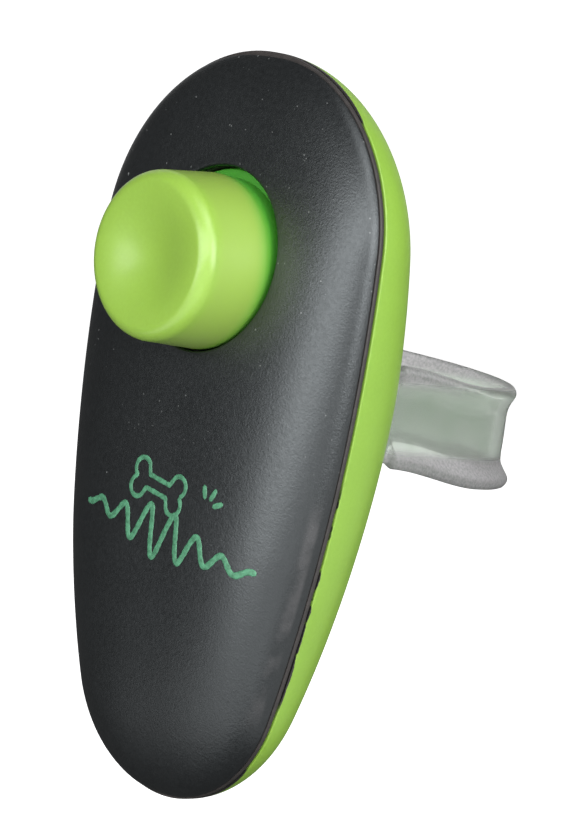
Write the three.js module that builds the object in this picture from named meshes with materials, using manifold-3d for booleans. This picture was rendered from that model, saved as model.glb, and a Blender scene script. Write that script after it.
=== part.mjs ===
// Clicker trainer: a finger-worn clicker used to train dogs.
//
// An egg-shaped two-part case carries a push button on its front and a soft band for the
// finger on its back. The button bends a spring-steel tongue inside, and the dimple pressed
// into the tongue snaps through with a click.
//
// Millimetres. +Z runs along the case towards the button's end, -Y is the front (button
// side), +Y the back (finger side), and X runs across the case. The pieces are laid out from
// the middle of the case on its parting plane, and the whole group is then moved so that
// its origin is the middle of the flat finger rest on the back.

import * as THREE from 'three';
import { mergeVertices } from 'three/addons/utils/BufferGeometryUtils.js';
import Module from 'manifold-3d';

const wasm = await Module();
wasm.setup();

// ---------------------------------------------------------------- driving dimensions

// Case outline: tangent arcs at the wide end, the narrow end and the two long sides.
const CASE_LENGTH = 60;
const WIDE_END_R = 15.2;
const NARROW_END_R = 10.9;
const SIDE_R = 130;
const END_FULLNESS = 1.6; // how the height falls off towards the two ends
const FRONT = { side: -1, height: 5.3, crest: -9, fullness: 3.0 };
const BACK = { side: 1, height: 9.7, crest: 3.5, fullness: 2.5 };

// Walls, measured inwards from the outer surface.
const SKIN_WALL = 0.9;
const SKIN_GAP = 0.3;
const FRONT_WALL = 1.3;
const BACK_WALL = 1.6;
const RIM_HEIGHT = 0.5;
const RIM_REACH = 0.4; // how far the rim runs on into the dome and past the parting plane
const PART_GAP = 0.2;
const LIP_GAP = 0.45;
const LIP_WALL = 0.8;
const LIP_HEIGHT = 0.8;
const LIP_ROOT = -0.8;

// Button: a hollow cap, a little narrower at its dished top, that draws in at its foot to a neck
// on a collar. The collar slides in a guide ring of the front shell. The button sits a little
// low in its opening.
const BUTTON_Z = 13.15;
const BUTTON_R = 7.0;
const BUTTON_TOP = 10.6; // height of its rim in front of the parting plane
const RIM = { r: 5.65, across: 1.1, drop: 1.3 }; // the crest of the rim, and how it rounds over
const DISH_DEPTH = 0.95;
const CAP_FOOT = -4.5; // where the side starts to draw in
const NECK = { r: 6.75, front: -3.2 };
const COLLAR_R = 7.15;
const COLLAR_TOP = -2.1;
const BORE_Z = 13.2;
const BORE_R = 7.4;
const SKIN_BORE_R = 7.45;
const GUIDE_R = 9.4;
const GUIDE_END = -1.15;
const FLANGE_R = 8.5;
const FLANGE_TOP = -0.9;
const FLANGE_END = 0.1;
const CAVITY_R = 6.0;
const CAVITY_TOP = -7.6;
const STEM_R = 2.3;
const STEM_END = 1.4;
const STEM_BEVEL = 0.6;

// Spring-steel tongue, its clamp and its two screws.
const LEAF_FRONT = 2.3;
const LEAF_THICK = 0.35;
const LEAF_WIDTH = 9;
const LEAF_LOW = -11.5;
const LEAF_HIGH = 19;
const LEAF_CORNER = 2;
const DIMPLE_R = 3.2;
const DIMPLE_RISE = 0.7;
const SEAT_GAP = 0.05;
const CLAMP_THICK = 1.1;
const CLAMP_Z = -8.2;
const CLAMP_HEIGHT = 6;
const CLAMP_WIDTH = 10;
const LEAF_SCREW_X = 2.7;
const LEAF_SCREW_LENGTH = 6;
const LEAF_SCREW_REACH = 4.6; // depth of the holes in the seat

// Case screws, driven from the back into posts of the front shell.
const CASE_SCREWS = { top: [0, 24.4], left: [-5.6, -16], right: [5.6, -16] };
const POST_R = 2.1;
const POST_STEP = 0.1; // the posts get thinner past the parting plane
const POST_END = 2.2;
const WELL_R = 2.25;
const WELL_WALL = 0.9;
const WELL_FLOOR = 0.8;
const SCREW = { shank: 1.0, head: 1.9, headHeight: 1.2, hole: 1.2 };
const SCREW_HOLE_TOP = -0.95; // how far the case screws' holes reach into the posts
const CASE_SCREW_LENGTH = 4.1;
const RECESS_ARM = 0.25;

// Finger band: a soft strap, waisted in the middle and flared at both edges.
const REST_Y = 9.3; // the flat finger rest, behind the parting plane
const BAND_Z = 2.75;
const BAND_R = 10.6; // outer radius of the waist
const BAND_WALL = 0.9;
const BAND_CENTRE_Y = 17.6;
const BAND_TOE_Y = 4.3;
const BAND_DROOP = 1.5; // degrees, towards the narrow end
const BAND_TWIST = 5; // degrees, at the far end of the loop
const TWIST_START_Y = 9;
const TWIST_LENGTH = 10;
const FLARE_START_Y = 8.15;
const FLARE_END_Y = 8.9;
const STRAP_HALF = 3.6;
const SLOT_GAP = 0.3;
const TOE = { width: 2.2, depth: 1.2, height: 9, inset: 0.3 };

// Mesh fineness.
const ALONG = 20;
const AROUND = 14;
const ROUND = 28;
const SMALL_ROUND = 14;
const DIMPLE_ROUND = 20;
const BOW_STEPS = 20;

// Reaches of the cutters.
const FAR = 40; // past every face of the case
const PAST = 1; // past the face that is cut

// ---------------------------------------------------------------- solids

// A closed mesh, with its shared vertices merged, as a solid that can be cut and joined.
function solid(geometry) {
  const plain = geometry.clone();
  for (const name of Object.keys(plain.attributes)) {
    if (name !== 'position') plain.deleteAttribute(name);
  }
  const merged = mergeVertices(plain, 1e-4);
  const index = merged.index.array;
  const triangles = [];
  for (let i = 0; i < index.length; i += 3) {
    const [a, b, c] = [index[i], index[i + 1], index[i + 2]];
    if (a !== b && b !== c && c !== a) triangles.push(a, b, c);
  }
  return new wasm.Manifold(
    new wasm.Mesh({
      numProp: 3,
      vertProperties: Float32Array.from(merged.attributes.position.array),
      triVerts: Uint32Array.from(triangles),
    }),
  );
}

function geometryOf(body) {
  const mesh = body.getMesh();
  const geometry = new THREE.BufferGeometry();
  geometry.setAttribute('position', new THREE.BufferAttribute(mesh.vertProperties, 3));
  geometry.setIndex(new THREE.BufferAttribute(mesh.triVerts, 1));
  geometry.computeVertexNormals();
  return geometry;
}

const join = (first, ...others) => others.reduce((sum, other) => sum.add(other), first);
const cut = (first, ...others) => others.reduce((rest, other) => rest.subtract(other), first);

// Skins a row of equal rings, closing each end onto a tip.
function skinned(rings, tips) {
  const size = rings[0].length;
  const points = rings.flat();
  const triangles = [];
  for (let row = 0; row + 1 < rings.length; row++) {
    for (let i = 0; i < size; i++) {
      const a = row * size + i;
      const b = row * size + ((i + 1) % size);
      triangles.push(a, b, a + size, b, b + size, a + size);
    }
  }
  for (const [row, flip] of [[0, true], [rings.length - 1, false]]) {
    const tip = points.push(flip ? tips[0] : tips[1]) - 1;
    for (let i = 0; i < size; i++) {
      const a = row * size + i;
      const b = row * size + ((i + 1) % size);
      triangles.push(...(flip ? [b, a, tip] : [a, b, tip]));
    }
  }
  return closedSolid(points, triangles);
}

// The middle of a ring of points.
function middleOf(ring) {
  const sum = ring.reduce((total, point) => total.add(point), new THREE.Vector3());
  return sum.divideScalar(ring.length);
}

// Turns the faces of a closed mesh outwards and makes it a solid.
function closedSolid(points, triangles) {
  let volume = 0;
  for (let i = 0; i < triangles.length; i += 3) {
    const [a, b, c] = [points[triangles[i]], points[triangles[i + 1]], points[triangles[i + 2]]];
    volume += a.dot(new THREE.Vector3().crossVectors(b, c));
  }
  const facing = volume > 0 ? triangles : triangles.slice().reverse();
  const geometry = new THREE.BufferGeometry().setFromPoints(points);
  geometry.setIndex(facing);
  return solid(geometry);
}

// A disc or rod along Y, from one Y to another.
function rod(radius, fromY, toY, x = 0, z = 0, sides = ROUND) {
  const geometry = new THREE.CylinderGeometry(radius, radius, Math.abs(toY - fromY), sides);
  return solid(geometry.translate(x, (fromY + toY) / 2, z));
}

function block([x0, x1], [y0, y1], [z0, z1]) {
  const geometry = new THREE.BoxGeometry(x1 - x0, y1 - y0, z1 - z0);
  return solid(geometry.translate((x0 + x1) / 2, (y0 + y1) / 2, (z0 + z1) / 2));
}

// A flat shape drawn in X and Z, made thick along Y.
function plate(shape, fromY, toY) {
  const options = { depth: toY - fromY, bevelEnabled: false, curveSegments: 12 };
  const geometry = new THREE.ExtrudeGeometry(shape, options);
  return solid(geometry.rotateX(Math.PI / 2).translate(0, toY, 0));
}

// A round piece turned about Y from a list of [radius, y] points.
function turned(profile, sides = ROUND) {
  return new THREE.LatheGeometry(profile.map(([r, y]) => new THREE.Vector2(r, y)), sides);
}

// ---------------------------------------------------------------- case surface

// Centres of the outline's arcs: both ends lie on the case's axis, and the side arc
// touches them both.
const WIDE_Z = CASE_LENGTH / 2 - WIDE_END_R;
const NARROW_Z = -CASE_LENGTH / 2 + NARROW_END_R;
const TO_WIDE = SIDE_R - WIDE_END_R;
const TO_NARROW = SIDE_R - NARROW_END_R;
const SIDE_Z = (TO_NARROW ** 2 - TO_WIDE ** 2 + WIDE_Z ** 2 - NARROW_Z ** 2)
  / (2 * (WIDE_Z - NARROW_Z));
const SIDE_X = -Math.sqrt(TO_WIDE ** 2 - (SIDE_Z - WIDE_Z) ** 2);

// Half the width of the case at a height z, for a surface lying inset below the outer one.
function halfWidth(z, inset) {
  const wide = WIDE_END_R - inset;
  const narrow = NARROW_END_R - inset;
  if (z > WIDE_Z + wide * (WIDE_Z - SIDE_Z) / TO_WIDE) {
    return Math.sqrt(Math.max(wide ** 2 - (z - WIDE_Z) ** 2, 0));
  }
  if (z < NARROW_Z + narrow * (NARROW_Z - SIDE_Z) / TO_NARROW) {
    return Math.sqrt(Math.max(narrow ** 2 - (z - NARROW_Z) ** 2, 0));
  }
  return SIDE_X + Math.sqrt((SIDE_R - inset) ** 2 - (z - SIDE_Z) ** 2);
}

// Height of one half of the case above the parting plane, along its middle.
function crestHeight(half, z, inset) {
  const reach = CASE_LENGTH / 2 - inset;
  const along = Math.abs(z - half.crest) / (reach - Math.sign(z - half.crest) * half.crest);
  const fall = Math.min(along, 1) ** END_FULLNESS;
  return (half.height - inset) * Math.sqrt(1 - fall);
}

// Heights along the case, closer together towards its ends.
function stations(inset) {
  const reach = CASE_LENGTH / 2 - inset;
  return Array.from({ length: ALONG + 1 }, (_, i) => -reach * Math.cos((Math.PI * i) / ALONG));
}

// One half of the case as a full solid, with its flat side on the parting plane.
function halfCase(half, inset) {
  const rings = stations(inset).slice(1, -1).map((z) => {
    const width = halfWidth(z, inset);
    const height = crestHeight(half, z, inset);
    return Array.from({ length: AROUND + 1 }, (_, i) => {
      const angle = Math.PI * (i / AROUND - 0.5);
      const [s, c] = [Math.sin(angle), Math.max(Math.cos(angle), 0)];
      const power = half.fullness;
      const reach = (Math.abs(s) ** power + c ** power) ** (-1 / power);
      const rise = i % AROUND === 0 ? 0 : height * reach * c;
      return new THREE.Vector3(width * reach * s, half.side * rise, z);
    });
  });
  const reach = CASE_LENGTH / 2 - inset;
  return skinned(rings, [new THREE.Vector3(0, 0, -reach), new THREE.Vector3(0, 0, reach)]);
}

// The case's outline as a flat shape.
function outline(inset) {
  const heights = stations(inset);
  const right = heights.map((z) => new THREE.Vector2(halfWidth(z, inset), z));
  const left = right.slice(1, -1).reverse().map((point) => new THREE.Vector2(-point.x, point.y));
  return new THREE.Shape([...right, ...left]);
}

// A flat band that follows the case's outline between two insets.
function ringPlate(outer, inner, fromY, toY) {
  return cut(plate(outline(outer), fromY, toY), plate(outline(inner), fromY - PAST, toY + PAST));
}

// ---------------------------------------------------------------- pieces

const SHELL_INSET = SKIN_WALL + SKIN_GAP;
const INNER_INSET = SHELL_INSET + FRONT_WALL;
const screwPlaces = Object.values(CASE_SCREWS);

function frontSkin() {
  return cut(
    halfCase(FRONT, 0),
    halfCase(FRONT, SKIN_WALL),
    block([-FAR, FAR], [-RIM_HEIGHT - PART_GAP, PAST], [-FAR, FAR]),
    rod(SKIN_BORE_R, -FAR, PAST, 0, BORE_Z),
  );
}

// The rigid front half. Its hollow leaves the button's guide ring and the screw posts.
function frontShell() {
  const hollow = cut(
    halfCase(FRONT, INNER_INSET),
    rod(GUIDE_R, -FAR, GUIDE_END, 0, BORE_Z),
    ...screwPlaces.map(([x, z]) => rod(POST_R, -FAR, PAST, x, z, SMALL_ROUND)),
  );
  const dome = cut(halfCase(FRONT, SHELL_INSET), hollow);
  const rim = ringPlate(0, INNER_INSET - RIM_REACH, -RIM_HEIGHT, RIM_REACH);
  const slab = block([-FAR, FAR], [-PART_GAP / 2, PAST], [-FAR, FAR]);
  const lipOuter = BACK_WALL + LIP_GAP;
  const lip = ringPlate(lipOuter, lipOuter + LIP_WALL, LIP_ROOT, LIP_HEIGHT);
  const postR = POST_R - POST_STEP;
  const posts = screwPlaces.map(([x, z]) => rod(postR, -PAST, POST_END, x, z, SMALL_ROUND));
  const holes = screwPlaces.map(([x, z]) => {
    return rod(SCREW.hole, SCREW_HOLE_TOP, POST_END + PAST, x, z, SMALL_ROUND);
  });
  return cut(
    join(cut(join(dome, rim), slab), lip, ...posts),
    rod(BORE_R, -FAR, FAR, 0, BORE_Z),
    ...holes,
  );
}

// The back half. Its hollow leaves the screw wells and the seat of the tongue.
function rearShell() {
  const wellTop = POST_END + SLOT_GAP;
  const wellSeat = wellTop + WELL_FLOOR;
  const seatY = LEAF_FRONT + LEAF_THICK + SEAT_GAP;
  const seat = block(
    [-CLAMP_WIDTH / 2, CLAMP_WIDTH / 2],
    [seatY, FAR],
    [CLAMP_Z - CLAMP_HEIGHT / 2, CLAMP_Z + CLAMP_HEIGHT / 2],
  );
  const hollow = cut(
    halfCase(BACK, BACK_WALL),
    seat,
    ...screwPlaces.map(([x, z]) => rod(WELL_R + WELL_WALL, wellTop, FAR, x, z, SMALL_ROUND)),
  );
  const heads = screwPlaces.map(([x, z]) => rod(WELL_R, wellSeat, FAR, x, z, SMALL_ROUND));
  const shanks = screwPlaces.map(([x, z]) => {
    return rod(SCREW.hole, wellTop - PAST, FAR, x, z, SMALL_ROUND);
  });
  const leafHoles = [-LEAF_SCREW_X, LEAF_SCREW_X].map((x) => {
    return rod(SCREW.hole, 0, seatY + LEAF_SCREW_REACH, x, CLAMP_Z, SMALL_ROUND);
  });
  const slots = [-1, 1].map((side) => {
    const near = side * (BAND_R - BAND_WALL - SLOT_GAP);
    const far = side * (BAND_R + SLOT_GAP);
    const high = STRAP_HALF + SLOT_GAP;
    return block(
      [Math.min(near, far), Math.max(near, far)],
      [BAND_TOE_Y, FAR],
      [BAND_Z - high, BAND_Z + high],
    );
  });
  return cut(
    halfCase(BACK, 0),
    hollow,
    block([-FAR, FAR], [-PAST, PART_GAP / 2], [-FAR, FAR]),
    block([-FAR, FAR], [REST_Y, FAR], [-FAR, FAR]),
    ...heads,
    ...shanks,
    ...leafHoles,
    ...slots,
  );
}

// The cap's top falls from the crest of its rim into a dish, and rounds over into its side.
function button() {
  const dish = [0, 0.3, 0.55, 0.8].map((part) => {
    const fall = (DISH_DEPTH * (1 + Math.cos(Math.PI * part))) / 2;
    return [RIM.r * part, fall - BUTTON_TOP];
  });
  const edge = [0, 0.33, 0.67, 1].map((part) => {
    const angle = (part * Math.PI) / 2;
    return [RIM.r + RIM.across * Math.sin(angle), RIM.drop * (1 - Math.cos(angle)) - BUTTON_TOP];
  });
  const profile = [
    ...dish,
    ...edge,
    [BUTTON_R, CAP_FOOT],
    [(2 * BUTTON_R + NECK.r) / 3, (CAP_FOOT + NECK.front) / 2],
    [NECK.r, NECK.front],
    [NECK.r, COLLAR_TOP],
    [COLLAR_R, COLLAR_TOP],
    [COLLAR_R, FLANGE_TOP],
    [FLANGE_R, FLANGE_TOP],
    [FLANGE_R, FLANGE_END],
    [CAVITY_R, FLANGE_END],
    [CAVITY_R, CAVITY_TOP],
    [STEM_R, CAVITY_TOP],
    [STEM_R, STEM_END - STEM_BEVEL],
    [STEM_R - STEM_BEVEL, STEM_END],
    [0, STEM_END],
  ];
  return solid(turned(profile));
}

// A strip with rounded corners, two screw holes and a dimple under the button's stem.
function clickLeaf() {
  const corner = LEAF_CORNER;
  const half = LEAF_WIDTH / 2;
  const strip = new THREE.Shape();
  strip.moveTo(-half + corner, LEAF_LOW);
  strip.absarc(half - corner, LEAF_LOW + corner, corner, -Math.PI / 2, 0);
  strip.absarc(half - corner, LEAF_HIGH - corner, corner, 0, Math.PI / 2);
  strip.absarc(-half + corner, LEAF_HIGH - corner, corner, Math.PI / 2, Math.PI);
  strip.absarc(-half + corner, LEAF_LOW + corner, corner, Math.PI, 1.5 * Math.PI);
  const flat = plate(strip, LEAF_FRONT, LEAF_FRONT + LEAF_THICK);
  const steps = [0, 0.33, 0.67, 1];
  const crown = steps.map((part) => {
    return [DIMPLE_R * part, LEAF_FRONT - DIMPLE_RISE * Math.cos((part * Math.PI) / 2)];
  });
  const hollow = steps.toReversed().map((part) => {
    return [(DIMPLE_R - LEAF_THICK) * part,
      LEAF_FRONT + LEAF_THICK - DIMPLE_RISE * Math.cos((part * Math.PI) / 2)];
  });
  const lowRim = [DIMPLE_R, LEAF_FRONT + LEAF_THICK];
  const profile = [...crown, lowRim, ...hollow];
  const dimple = solid(turned(profile, DIMPLE_ROUND).translate(0, 0, BUTTON_Z));
  const holes = [-LEAF_SCREW_X, LEAF_SCREW_X].map((x) => {
    return rod(SCREW.hole, 0, FAR, x, CLAMP_Z, SMALL_ROUND);
  });
  const well = rod(DIMPLE_R - SEAT_GAP, 0, FAR, 0, BUTTON_Z, DIMPLE_ROUND);
  return join(cut(flat, well, ...holes), dimple);
}

function leafClamp() {
  const backY = LEAF_FRONT - SEAT_GAP;
  const low = CLAMP_Z - CLAMP_HEIGHT / 2;
  const high = CLAMP_Z + CLAMP_HEIGHT / 2;
  const holes = [-LEAF_SCREW_X, LEAF_SCREW_X].map((x) => {
    return rod(SCREW.hole, -FAR, FAR, x, CLAMP_Z, SMALL_ROUND);
  });
  const bar = block([-CLAMP_WIDTH / 2, CLAMP_WIDTH / 2], [backY - CLAMP_THICK, backY], [low, high]);
  return cut(bar, ...holes);
}

// A pan-head screw with a cross recess. Its head's underside is at y = 0 and its shank
// points along +Y.
function panScrew(length) {
  const { shank, head, headHeight } = SCREW;
  const profile = [
    [0, -headHeight],
    [head * 0.6, -headHeight],
    [head * 0.9, -headHeight * 0.7],
    [head, -headHeight * 0.35],
    [head, 0],
    [shank, 0],
    [shank, length - 1],
    [shank * 0.4, length],
    [0, length],
  ];
  const arm = [-RECESS_ARM, RECESS_ARM];
  const reach = [-head * 0.55, head * 0.55];
  const depth = [-FAR, -headHeight * 0.35];
  return cut(
    solid(turned(profile, SMALL_ROUND)),
    block(arm, depth, reach),
    block(reach, depth, arm),
  );
}

// How far the band's middle line is shifted along Z: it droops a little, and its far end
// is twisted a little, as soft bands are.
function bandShift(x, y) {
  const droop = Math.tan(THREE.MathUtils.degToRad(BAND_DROOP)) * (y - TWIST_START_Y);
  const part = THREE.MathUtils.smoothstep(y, TWIST_START_Y, TWIST_START_Y + TWIST_LENGTH);
  const twist = Math.tan(THREE.MathUtils.degToRad(BAND_TWIST)) * part * x;
  return -Math.max(droop, 0) - twist;
}

// Section of the band: [outwards from the waist, along Z], flared at both edges. The second
// pair of each point is the plain strap that passes through the case.
const BAND_SECTION = [
  [0, -1.9, 0, -1.9],
  [0, 0, 0, 0],
  [0, 1.9, 0, 1.9],
  [0.2, 2.7, 0, 2.8],
  [0.55, 3.5, 0, STRAP_HALF],
  [0.3, 4.05, -0.15, STRAP_HALF],
  [-0.2, 4.1, -0.45, STRAP_HALF],
  [-0.55, 3.5, -0.75, STRAP_HALF],
  [-BAND_WALL, 2.2, -BAND_WALL, 2.2],
  [-BAND_WALL, 0, -BAND_WALL, 0],
  [-BAND_WALL, -2.2, -BAND_WALL, -2.2],
  [-0.4, -3.5, -0.75, -STRAP_HALF],
  [-0.1, -4.1, -0.45, -STRAP_HALF],
  [0.5, -4.05, -0.15, -STRAP_HALF],
  [0.8, -3.4, 0, -STRAP_HALF],
  [0.3, -2.6, 0, -2.8],
];

function fingerBand() {
  const legY = [BAND_TOE_Y, 6.5, FLARE_START_Y, 8.4, 8.65, FLARE_END_Y, 13, 15.4];
  const rightLeg = legY.map((y) => ({ x: 1, y: 0, at: y }));
  const bow = Array.from({ length: BOW_STEPS + 1 }, (_, i) => {
    const angle = (Math.PI * i) / BOW_STEPS;
    return { x: Math.cos(angle), y: Math.sin(angle), at: BAND_CENTRE_Y };
  });
  const leftLeg = legY.toReversed().map((y) => ({ x: -1, y: 0, at: y }));
  const rings = [...rightLeg, ...bow, ...leftLeg].map((place) => {
    const flare = THREE.MathUtils.smoothstep(place.at, FLARE_START_Y, FLARE_END_Y);
    return BAND_SECTION.map(([r, z, strapR, strapZ]) => {
      const out = BAND_R + THREE.MathUtils.lerp(strapR, r, flare);
      const [x, y] = [out * place.x, place.at + out * place.y];
      const rise = THREE.MathUtils.lerp(strapZ, z, flare);
      return new THREE.Vector3(x, y, BAND_Z + rise + bandShift(x, y));
    });
  });
  const toes = [-1, 1].map((side) => {
    const middle = side * (BAND_R - BAND_WALL / 2 - TOE.inset);
    return block(
      [middle - TOE.width / 2, middle + TOE.width / 2],
      [BAND_TOE_Y - TOE.depth / 2, BAND_TOE_Y + TOE.depth / 2],
      [BAND_Z - TOE.height / 2, BAND_Z + TOE.height / 2],
    );
  });
  return join(skinned(rings, [middleOf(rings[0]), middleOf(rings.at(-1))]), ...toes);
}

// ---------------------------------------------------------------- assembly

const COLOURS = {
  softBlack: { color: '#33373a', roughness: 0.62, metalness: 0 },
  black: { color: '#26282a', roughness: 0.5, metalness: 0 },
  lime: { color: '#93c83f', roughness: 0.35, metalness: 0 },
  clear: { color: '#b9c2bd', roughness: 0.2, metalness: 0, transparent: true, opacity: 0.5 },
  springSteel: { color: '#a9adb2', roughness: 0.3, metalness: 1 },
  zinc: { color: '#b8babd', roughness: 0.35, metalness: 1 },
};

const clicker = new THREE.Group();
clicker.position.set(0, -REST_Y, -BAND_Z);

function addPiece(name, body, finish, place = [0, 0, 0], turn = 0) {
  const mesh = new THREE.Mesh(geometryOf(body), new THREE.MeshStandardMaterial(COLOURS[finish]));
  mesh.name = name;
  mesh.position.set(...place);
  mesh.rotation.x = turn;
  clicker.add(mesh);
}

addPiece('front_skin', frontSkin(), 'softBlack');
addPiece('front_shell', frontShell(), 'black');
addPiece('rear_shell', rearShell(), 'lime');
addPiece('button', button(), 'lime', [0, 0, BUTTON_Z]);
addPiece('click_leaf', clickLeaf(), 'springSteel');
addPiece('leaf_clamp', leafClamp(), 'zinc');
for (const [side, x] of [['left', -LEAF_SCREW_X], ['right', LEAF_SCREW_X]]) {
  const headY = LEAF_FRONT - 2 * SEAT_GAP - CLAMP_THICK;
  addPiece(`leaf_screw_${side}`, panScrew(LEAF_SCREW_LENGTH), 'zinc', [x, headY, CLAMP_Z]);
}
for (const [side, [x, z]] of Object.entries(CASE_SCREWS)) {
  const headY = POST_END + SLOT_GAP + WELL_FLOOR + SEAT_GAP;
  addPiece(`case_screw_${side}`, panScrew(CASE_SCREW_LENGTH), 'zinc', [x, headY, z], Math.PI);
}
addPiece('finger_band', fingerBand(), 'clear');

export default clicker;
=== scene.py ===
"""Looks of the clicker trainer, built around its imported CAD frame.

Shapes are worked out in millimetres in case coordinates: the origin is the middle of the
case on its parting plane, +Z runs to the button's end, -Y is the front and X runs across.
"""

import math

import bmesh
import bpy
import numpy as np
from mathutils import Matrix, Vector


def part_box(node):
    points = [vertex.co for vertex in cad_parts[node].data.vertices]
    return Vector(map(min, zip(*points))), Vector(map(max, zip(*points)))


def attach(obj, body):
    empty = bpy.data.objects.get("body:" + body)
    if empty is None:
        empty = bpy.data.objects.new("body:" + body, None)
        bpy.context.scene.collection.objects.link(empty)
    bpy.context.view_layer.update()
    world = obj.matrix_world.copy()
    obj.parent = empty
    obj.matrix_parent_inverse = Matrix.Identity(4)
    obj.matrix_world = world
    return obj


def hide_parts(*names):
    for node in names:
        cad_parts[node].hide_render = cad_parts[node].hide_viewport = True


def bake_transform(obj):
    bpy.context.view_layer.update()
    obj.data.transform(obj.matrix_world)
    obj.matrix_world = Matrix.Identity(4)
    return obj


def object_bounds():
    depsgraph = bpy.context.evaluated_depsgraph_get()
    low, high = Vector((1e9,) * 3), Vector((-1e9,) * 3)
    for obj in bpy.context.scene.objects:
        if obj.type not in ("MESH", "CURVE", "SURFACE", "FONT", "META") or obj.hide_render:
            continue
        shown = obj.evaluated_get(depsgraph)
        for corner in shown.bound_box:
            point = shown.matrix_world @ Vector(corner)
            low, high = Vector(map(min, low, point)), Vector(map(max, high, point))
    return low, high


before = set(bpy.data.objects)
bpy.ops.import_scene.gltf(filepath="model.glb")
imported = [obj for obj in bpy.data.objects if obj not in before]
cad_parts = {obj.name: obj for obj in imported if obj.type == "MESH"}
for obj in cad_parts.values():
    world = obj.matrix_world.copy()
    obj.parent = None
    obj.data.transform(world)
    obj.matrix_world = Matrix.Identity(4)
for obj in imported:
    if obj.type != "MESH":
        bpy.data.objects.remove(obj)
cad_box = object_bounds()

# ------------------------------------------------------------------ places and sizes, in mm

MM = 0.001
PART_GAP = 0.2


def span(node):
    """Lowest and highest corner of a CAD node, in millimetres of the row frame."""
    low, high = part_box(node)
    return np.array(low) / MM, np.array(high) / MM


shell_low, shell_high = span("front_shell")
rear_low, _ = span("rear_shell")
button_low, button_high = span("button")
leaf_low, leaf_high = span("click_leaf")
clamp_low, clamp_high = span("leaf_clamp")

# The case's own origin, in the row frame.
ORIGIN = np.array([0.0, rear_low[1] - PART_GAP / 2, (shell_low[2] + shell_high[2]) / 2])

LENGTH = shell_high[2] - shell_low[2]
WIDE_END_R = 15.2
NARROW_END_R = 10.9
SIDE_R = 130.0
END_FULLNESS = 1.6
FRONT = {"side": -1, "height": 5.3, "crest": -9.0, "fullness": 3.0}
BACK = {"side": 1, "height": 9.7, "crest": 3.5, "fullness": 2.5}

SKIN_WALL = 0.9
SHELL_INSET = 1.2
FRONT_WALL = 1.3
BACK_WALL = 1.6
RIM_FRONT = 0.52
SKIN_EDGE = 0.6
LIP_OUTER = 2.05
LIP_WALL = 0.8
LIP_HEIGHT = 0.8
EDGE_ROUND = 0.11  # radius of the moulded edges beside the seam

BUTTON_Z = (button_low[2] + button_high[2]) / 2 - ORIGIN[2]
BUTTON_TOP = ORIGIN[1] - button_low[1]
FLANGE_R = (button_high[0] - button_low[0]) / 2
BUTTON_R = 7.0
RIM = {"r": 5.65, "across": 1.1, "drop": 1.3}
DISH_DEPTH = 0.95
CAP_DROP = 0.2  # the cap sits a little low on its collar
CAP_FOOT = -4.5
NECK = {"r": 6.8, "front": -2.9}
COLLAR_RISE = 0.09
COLLAR_R = 7.2
COLLAR_TOP = -2.1
BORE_Z = 13.2
BORE_R = 7.4
SKIN_BORE_R = 7.42
GUIDE_R = 9.4
GUIDE_END = -1.15
FLANGE_TOP = -0.9
FLANGE_END = 0.1
CAVITY_R = 6.0
CAVITY_TOP = -7.6
STEM_R = 2.3
STEM_END = 1.4

REST_Y = -ORIGIN[1]
REST_BLEND = 0.22  # how far the flat finger rest blends into the dome
BAND_Z = -ORIGIN[2]
BAND_R = 10.6
BAND_WALL = 0.9
BAND_CENTRE_Y = 17.6
BAND_TOE_Y = 4.3
BAND_DROOP = 1.5
BAND_TWIST = 5.0
FLARE_START_Y = 8.15
FLARE_LENGTH = 0.75
TWIST_START_Y = 9.0
TWIST_LENGTH = 10.0
STRAP_HALF = 3.6

CASE_SCREWS = {}
for where in ("top", "left", "right"):
    low, high = span(f"case_screw_{where}")
    CASE_SCREWS[where] = ((low[0] + high[0]) / 2, (low[2] + high[2]) / 2 - ORIGIN[2])
CLAMP_Z = (clamp_low[2] + clamp_high[2]) / 2 - ORIGIN[2]
CLAMP_HOLE_X = 2.7
HOLE_R = 1.2  # clearance holes of all the screws
HEAD_R = 1.9  # pan head, thread and core of all the screws
HEAD_HIGH = 1.2
THREAD_R = 1.0
CORE_R = 0.72
WELL_R = 2.25
WELL_FLOOR = 2.5
WELL_SEAT = 3.3
LEAF_FRONT = 2.3
LEAF_THICK = 0.35
LEAF_BACK = LEAF_FRONT + 0.4

AROUND = 288  # points round the case
WELD = 0.0005  # points this close are one point

# ------------------------------------------------------------------ small mesh tools


def smoothstep(value, start, length):
    """0 up to the start, 1 from a length beyond it on, and a smooth rise between."""
    part = np.clip((np.asarray(value, float) - start) / length, 0, 1)
    return part * part * (3 - 2 * part)


def ring_faces(rows, size, closed=False):
    """Quads between successive rings of the same size."""
    row = np.arange(rows if closed else rows - 1)[:, None]
    here = np.arange(size)[None, :]
    after = (here + 1) % size
    below = (row + 1) % rows
    quads = np.stack(
        [row * size + here, row * size + after, below * size + after, below * size + here],
        axis=-1,
    )
    return quads.reshape(-1, 4).tolist()


def signed_volume(points, faces):
    """Six times the enclosed volume, above 0 where the faces look outwards."""
    total = 0.0
    for face in faces:
        first = points[face[0]]
        for b, c in zip(face[1:-1], face[2:]):
            total += float(np.dot(first, np.cross(points[b], points[c])))
    return total


def new_object(name, points, faces, sharp=None):
    """A mesh object from points in case millimetres, its faces turned outwards."""
    points = np.asarray(points, float)
    if signed_volume(points, faces) < 0:
        faces = [face[::-1] for face in faces]
    mesh = bpy.data.meshes.new(name)
    mesh.from_pydata(((points + ORIGIN) * MM).tolist(), [], faces)
    mesh.validate()
    mesh.shade_smooth()
    if sharp is not None:
        mesh.set_sharp_from_angle(angle=math.radians(sharp))
    piece = bpy.data.objects.new(name, mesh)
    bpy.context.scene.collection.objects.link(piece)
    return piece


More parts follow.
